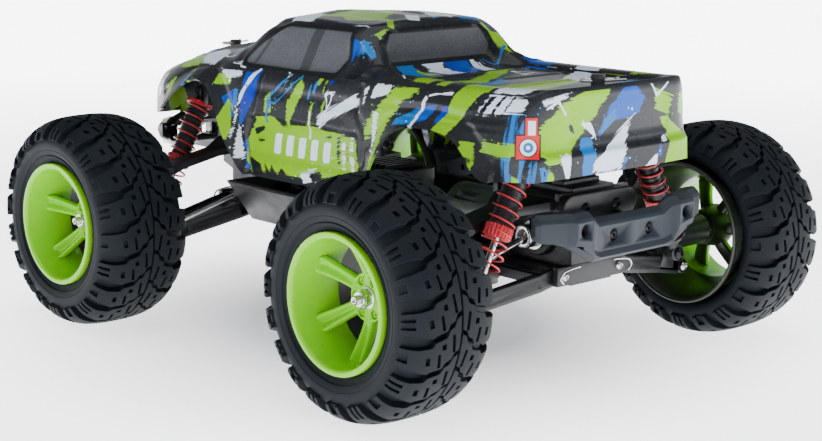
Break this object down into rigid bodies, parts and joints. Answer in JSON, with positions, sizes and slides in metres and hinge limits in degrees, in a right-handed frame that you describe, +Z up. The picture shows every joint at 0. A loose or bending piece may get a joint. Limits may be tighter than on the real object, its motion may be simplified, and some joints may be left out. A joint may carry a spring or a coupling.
{
  "type": "rc monster truck",
  "caption": "Radio-controlled monster truck: pickup shell over a black tub, four balloon tyres on green dished rims, double wishbones with red-sprung shocks, servo steering and rear-wheel drive.",
  "frame": {"origin": "middle of the truck's footprint box on the ground plane under the tyres: x = 0 is the middle plane; the middle of the wheelbase lies at y = +6.5 mm, toward the tail", "axes": "+Z up, -Y toward the nose, +X toward the truck's left side"},
  "size_m": [0.269, 0.328, 0.1555],
  "materials": {
    "tyre_rubber": "matt moulded rubber",
    "rim_green": "glossy lime plastic",
    "steel": "bright turned steel",
    "black_nylon": "satin black nylon",
    "bumper_grey": "satin slate plastic",
    "bumper_black": "gloss black plastic",
    "shell_paint": "thin shell, splashed paint over black",
    "shock_black": "black ribbed body",
    "spring_red": "red coated spring wire",
    "motor_can": "plated can",
    "pack_blue": "blue shrink sleeve"
  },
  "bodies": {
    "truck": {"chassis_tub": "black_nylon", "front_bulkhead": "black_nylon", "rear_gearbox": "black_nylon", "front_shock_tower": "black_nylon", "rear_shock_tower": "black_nylon", "front_bumper": "bumper_black", "rear_bumper": "bumper_grey", "body_shell": "shell_paint", "battery_pack": "pack_blue", "receiver_esc": "black_nylon", "steering_servo": "black_nylon", "drive_motor": "motor_can"},
    "lower_arm_fl": {"lower_arm_fl": "black_nylon"},
    "upper_arm_fl": {"upper_arm_fl": "black_nylon"},
    "carrier_fl": {"carrier_fl": "black_nylon"},
    "shock_body_fl": {"shock_body_fl": "shock_black", "spring_fl": "spring_red"},
    "shock_rod_fl": {"shock_rod_fl": "steel"},
    "knuckle_fl": {"knuckle_fl": "black_nylon"},
    "wheel_fl": {"tyre_fl": "tyre_rubber", "rim_fl": "rim_green", "axle_fl": "steel"},
    "lower_arm_fr": {"lower_arm_fr": "black_nylon"},
    "upper_arm_fr": {"upper_arm_fr": "black_nylon"},
    "carrier_fr": {"carrier_fr": "black_nylon"},
    "shock_body_fr": {"shock_body_fr": "shock_black", "spring_fr": "spring_red"},
    "shock_rod_fr": {"shock_rod_fr": "steel"},
    "knuckle_fr": {"knuckle_fr": "black_nylon"},
    "wheel_fr": {"tyre_fr": "tyre_rubber", "rim_fr": "rim_green", "axle_fr": "steel"},
    "lower_arm_rl": {"lower_arm_rl": "black_nylon"},
    "upper_arm_rl": {"upper_arm_rl": "black_nylon"},
    "carrier_rl": {"carrier_rl": "black_nylon"},
    "shock_body_rl": {"shock_body_rl": "shock_black", "spring_rl": "spring_red"},
    "shock_rod_rl": {"shock_rod_rl": "steel"},
    "wheel_rl": {"tyre_rl": "tyre_rubber", "rim_rl": "rim_green", "axle_rl": "steel"},
    "dogbone_rl": {"dogbone_rl": "steel"},
    "lower_arm_rr": {"lower_arm_rr": "black_nylon"},
    "upper_arm_rr": {"upper_arm_rr": "black_nylon"},
    "carrier_rr": {"carrier_rr": "black_nylon"},
    "shock_body_rr": {"shock_body_rr": "shock_black", "spring_rr": "spring_red"},
    "shock_rod_rr": {"shock_rod_rr": "steel"},
    "wheel_rr": {"tyre_rr": "tyre_rubber", "rim_rr": "rim_green", "axle_rr": "steel"},
    "dogbone_rr": {"dogbone_rr": "steel"},
    "steering_rack": {"steering_rack": "black_nylon"},
    "servo_horn": {"servo_horn": "black_nylon"},
    "tie_rod_fl": {"tie_rod_fl": "steel"},
    "tie_rod_fr": {"tie_rod_fr": "steel"},
    "differential": {"differential": "steel"},
    "motor_pinion": {"motor_pinion": "steel"},
    "battery_cover": {"battery_cover": "black_nylon"},
    "power_switch": {"power_switch": "black_nylon"}
  },
  "joints": [
    {"name": "suspension_fl", "type": "hinge", "parent": "truck", "child": "lower_arm_fl", "pos_m": [0.018, -0.099, 0.0495], "axis": [0, -1, 0], "range_deg": [0, 15], "stiffness_Nm_per_rad": 1.2, "springref_deg": -17.19},
    {"name": "upper_swing_fl", "type": "hinge", "parent": "truck", "child": "upper_arm_fl", "pos_m": [0.018, -0.099, 0.0825], "axis": [0, -1, 0], "range_deg": [-0.5, 15.5]},
    {"name": "carrier_level_fl", "type": "hinge", "parent": "lower_arm_fl", "child": "carrier_fl", "pos_m": [0.078, -0.099, 0.038], "axis": [0, -1, 0], "range_deg": [-15.5, 0.5]},
    {"name": "shock_swing_fl", "type": "hinge", "parent": "truck", "child": "shock_body_fl", "pos_m": [0.036, -0.109, 0.108], "axis": [0, -1, 0], "range_deg": [-0.3, 5.05]},
    {"name": "shock_slide_fl", "type": "slide", "parent": "shock_body_fl", "child": "shock_rod_fl", "axis": [-0.4442, 0, 0.8959], "range_m": [-0.0002, 0.01172], "deforming": ["spring_fl"]},
    {"name": "steer_fl", "type": "hinge", "parent": "carrier_fl", "child": "knuckle_fl", "pos_m": [0.086, -0.099, 0.052], "axis": [0, 0, 1], "range_deg": [-25.2, 25.2]},
    {"name": "roll_fl", "type": "hinge", "parent": "knuckle_fl", "child": "wheel_fl", "pos_m": [0.111, -0.099, 0.052], "axis": [1, 0, 0], "continuous": true},
    {"name": "suspension_fr", "type": "hinge", "parent": "truck", "child": "lower_arm_fr", "pos_m": [-0.018, -0.099, 0.0495], "axis": [0, 1, 0], "range_deg": [0, 15], "stiffness_Nm_per_rad": 1.2, "springref_deg": -17.19},
    {"name": "upper_swing_fr", "type": "hinge", "parent": "truck", "child": "upper_arm_fr", "pos_m": [-0.018, -0.099, 0.0825], "axis": [0, 1, 0], "range_deg": [-0.5, 15.5]},
    {"name": "carrier_level_fr", "type": "hinge", "parent": "lower_arm_fr", "child": "carrier_fr", "pos_m": [-0.078, -0.099, 0.038], "axis": [0, 1, 0], "range_deg": [-15.5, 0.5]},
    {"name": "shock_swing_fr", "type": "hinge", "parent": "truck", "child": "shock_body_fr", "pos_m": [-0.036, -0.109, 0.108], "axis": [0, 1, 0], "range_deg": [-0.3, 5.05]},
    {"name": "shock_slide_fr", "type": "slide", "parent": "shock_body_fr", "child": "shock_rod_fr", "axis": [0.4442, 0, 0.8959], "range_m": [-0.0002, 0.01172], "deforming": ["spring_fr"]},
    {"name": "steer_fr", "type": "hinge", "parent": "carrier_fr", "child": "knuckle_fr", "pos_m": [-0.086, -0.099, 0.052], "axis": [0, 0, 1], "range_deg": [-25.2, 25.2]},
    {"name": "roll_fr", "type": "hinge", "parent": "knuckle_fr", "child": "wheel_fr", "pos_m": [-0.111, -0.099, 0.052], "axis": [1, 0, 0], "continuous": true},
    {"name": "suspension_rl", "type": "hinge", "parent": "truck", "child": "lower_arm_rl", "pos_m": [0.018, 0.112, 0.0495], "axis": [0, -1, 0], "range_deg": [0, 15], "stiffness_Nm_per_rad": 1.2, "springref_deg": -17.19},
    {"name": "upper_swing_rl", "type": "hinge", "parent": "truck", "child": "upper_arm_rl", "pos_m": [0.018, 0.112, 0.0825], "axis": [0, -1, 0], "range_deg": [-0.5, 15.5]},
    {"name": "carrier_level_rl", "type": "hinge", "parent": "lower_arm_rl", "child": "carrier_rl", "pos_m": [0.078, 0.112, 0.038], "axis": [0, -1, 0], "range_deg": [-15.5, 0.5]},
    {"name": "shock_swing_rl", "type": "hinge", "parent": "truck", "child": "shock_body_rl", "pos_m": [0.036, 0.1255, 0.108], "axis": [0, -1, 0], "range_deg": [-0.3, 5.05]},
    {"name": "shock_slide_rl", "type": "slide", "parent": "shock_body_rl", "child": "shock_rod_rl", "axis": [-0.4442, 0, 0.8959], "range_m": [-0.0002, 0.01172], "deforming": ["spring_rl"]},
    {"name": "roll_rl", "type": "hinge", "parent": "carrier_rl", "child": "wheel_rl", "pos_m": [0.111, 0.112, 0.052], "axis": [1, 0, 0], "continuous": true},
    {"name": "dogbone_swing_rl", "type": "hinge", "parent": "truck", "child": "dogbone_rl", "pos_m": [0.02, 0.112, 0.065], "axis": [0, -1, 0], "range_deg": [-0.5, 19.24]},
    {"name": "suspension_rr", "type": "hinge", "parent": "truck", "child": "lower_arm_rr", "pos_m": [-0.018, 0.112, 0.0495], "axis": [0, 1, 0], "range_deg": [0, 15], "stiffness_Nm_per_rad": 1.2, "springref_deg": -17.19},
    {"name": "upper_swing_rr", "type": "hinge", "parent": "truck", "child": "upper_arm_rr", "pos_m": [-0.018, 0.112, 0.0825], "axis": [0, 1, 0], "range_deg": [-0.5, 15.5]},
    {"name": "carrier_level_rr", "type": "hinge", "parent": "lower_arm_rr", "child": "carrier_rr", "pos_m": [-0.078, 0.112, 0.038], "axis": [0, 1, 0], "range_deg": [-15.5, 0.5]},
    {"name": "shock_swing_rr", "type": "hinge", "parent": "truck", "child": "shock_body_rr", "pos_m": [-0.036, 0.1255, 0.108], "axis": [0, 1, 0], "range_deg": [-0.3, 5.05]},
    {"name": "shock_slide_rr", "type": "slide", "parent": "shock_body_rr", "child": "shock_rod_rr", "axis": [0.4442, 0, 0.8959], "range_m": [-0.0002, 0.01172], "deforming": ["spring_rr"]},
    {"name": "roll_rr", "type": "hinge", "parent": "carrier_rr", "child": "wheel_rr", "pos_m": [-0.111, 0.112, 0.052], "axis": [1, 0, 0], "continuous": true},
    {"name": "dogbone_swing_rr", "type": "hinge", "parent": "truck", "child": "dogbone_rr", "pos_m": [-0.02, 0.112, 0.065], "axis": [0, 1, 0], "range_deg": [-0.5, 19.24]},
    {"name": "servo_turn", "type": "hinge", "parent": "truck", "child": "servo_horn", "pos_m": [0, -0.052, 0.0677], "axis": [0, 0, 1], "range_deg": [-25, 25]},
    {"name": "rack_slide", "type": "slide", "parent": "truck", "child": "steering_rack", "axis": [1, 0, 0], "range_m": [-0.0087, 0.0087]},
    {"name": "tie_rod_swing_fl", "type": "hinge", "parent": "steering_rack", "child": "tie_rod_fl", "pos_m": [0.026, -0.0795, 0.0615], "axis": [0, -1, 0], "range_deg": [-0.5, 15.5]},
    {"name": "tie_rod_swing_fr", "type": "hinge", "parent": "steering_rack", "child": "tie_rod_fr", "pos_m": [-0.026, -0.0795, 0.0615], "axis": [0, 1, 0], "range_deg": [-0.5, 15.5]},
    {"name": "differential_spin", "type": "hinge", "parent": "truck", "child": "differential", "pos_m": [0, 0.112, 0.065], "axis": [1, 0, 0], "continuous": true},
    {"name": "pinion_spin", "type": "hinge", "parent": "truck", "child": "motor_pinion", "pos_m": [0, 0.112, 0.065], "axis": [0, 1, 0], "continuous": true},
    {"name": "battery_cover_hinge", "type": "hinge", "parent": "truck", "child": "battery_cover", "pos_m": [0.0196, 0.0065, 0.0445], "axis": [0, -1, 0], "range_deg": [0, 100]},
    {"name": "power_switch_slide", "type": "slide", "parent": "truck", "child": "power_switch", "axis": [0, 1, 0], "range_m": [-0.0025, 0.0025]}
  ],
  "couplings": [
    {"joint": "upper_swing_fl", "follows": "suspension_fl", "ratio": 1},
    {"joint": "carrier_level_fl", "follows": "suspension_fl", "ratio": -1},
    {"joint": "shock_swing_fl", "follows": "suspension_fl", "ratio": 0.3166},
    {"joint": "shock_slide_fl", "follows": "suspension_fl", "m_per_rad": 0.04361},
    {"joint": "steer_fl", "follows": "servo_turn", "ratio": -1},
    {"joint": "upper_swing_fr", "follows": "suspension_fr", "ratio": 1},
    {"joint": "carrier_level_fr", "follows": "suspension_fr", "ratio": -1},
    {"joint": "shock_swing_fr", "follows": "suspension_fr", "ratio": 0.3166},
    {"joint": "shock_slide_fr", "follows": "suspension_fr", "m_per_rad": 0.04361},
    {"joint": "steer_fr", "follows": "servo_turn", "ratio": -1},
    {"joint": "upper_swing_rl", "follows": "suspension_rl", "ratio": 1},
    {"joint": "carrier_level_rl", "follows": "suspension_rl", "ratio": -1},
    {"joint": "shock_swing_rl", "follows": "suspension_rl", "ratio": 0.3166},
    {"joint": "shock_slide_rl", "follows": "suspension_rl", "m_per_rad": 0.04361},
    {"joint": "dogbone_swing_rl", "follows": "suspension_rl", "ratio": 1.249},
    {"joint": "upper_swing_rr", "follows": "suspension_rr", "ratio": 1},
    {"joint": "carrier_level_rr", "follows": "suspension_rr", "ratio": -1},
    {"joint": "shock_swing_rr", "follows": "suspension_rr", "ratio": 0.3166},
    {"joint": "shock_slide_rr", "follows": "suspension_rr", "m_per_rad": 0.04361},
    {"joint": "dogbone_swing_rr", "follows": "suspension_rr", "ratio": 1.249},
    {"joint": "rack_slide", "follows": "servo_turn", "m_per_rad": 0.0195},
    {"joint": "tie_rod_swing_fl", "follows": "suspension_fl", "ratio": 1},
    {"joint": "tie_rod_swing_fr", "follows": "suspension_fr", "ratio": 1},
    {"joint": "roll_rr", "follows": "roll_rl", "ratio": 1},
    {"joint": "differential_spin", "follows": "roll_rl", "ratio": 1},
    {"joint": "pinion_spin", "follows": "roll_rl", "ratio": 2.75}
  ]
}
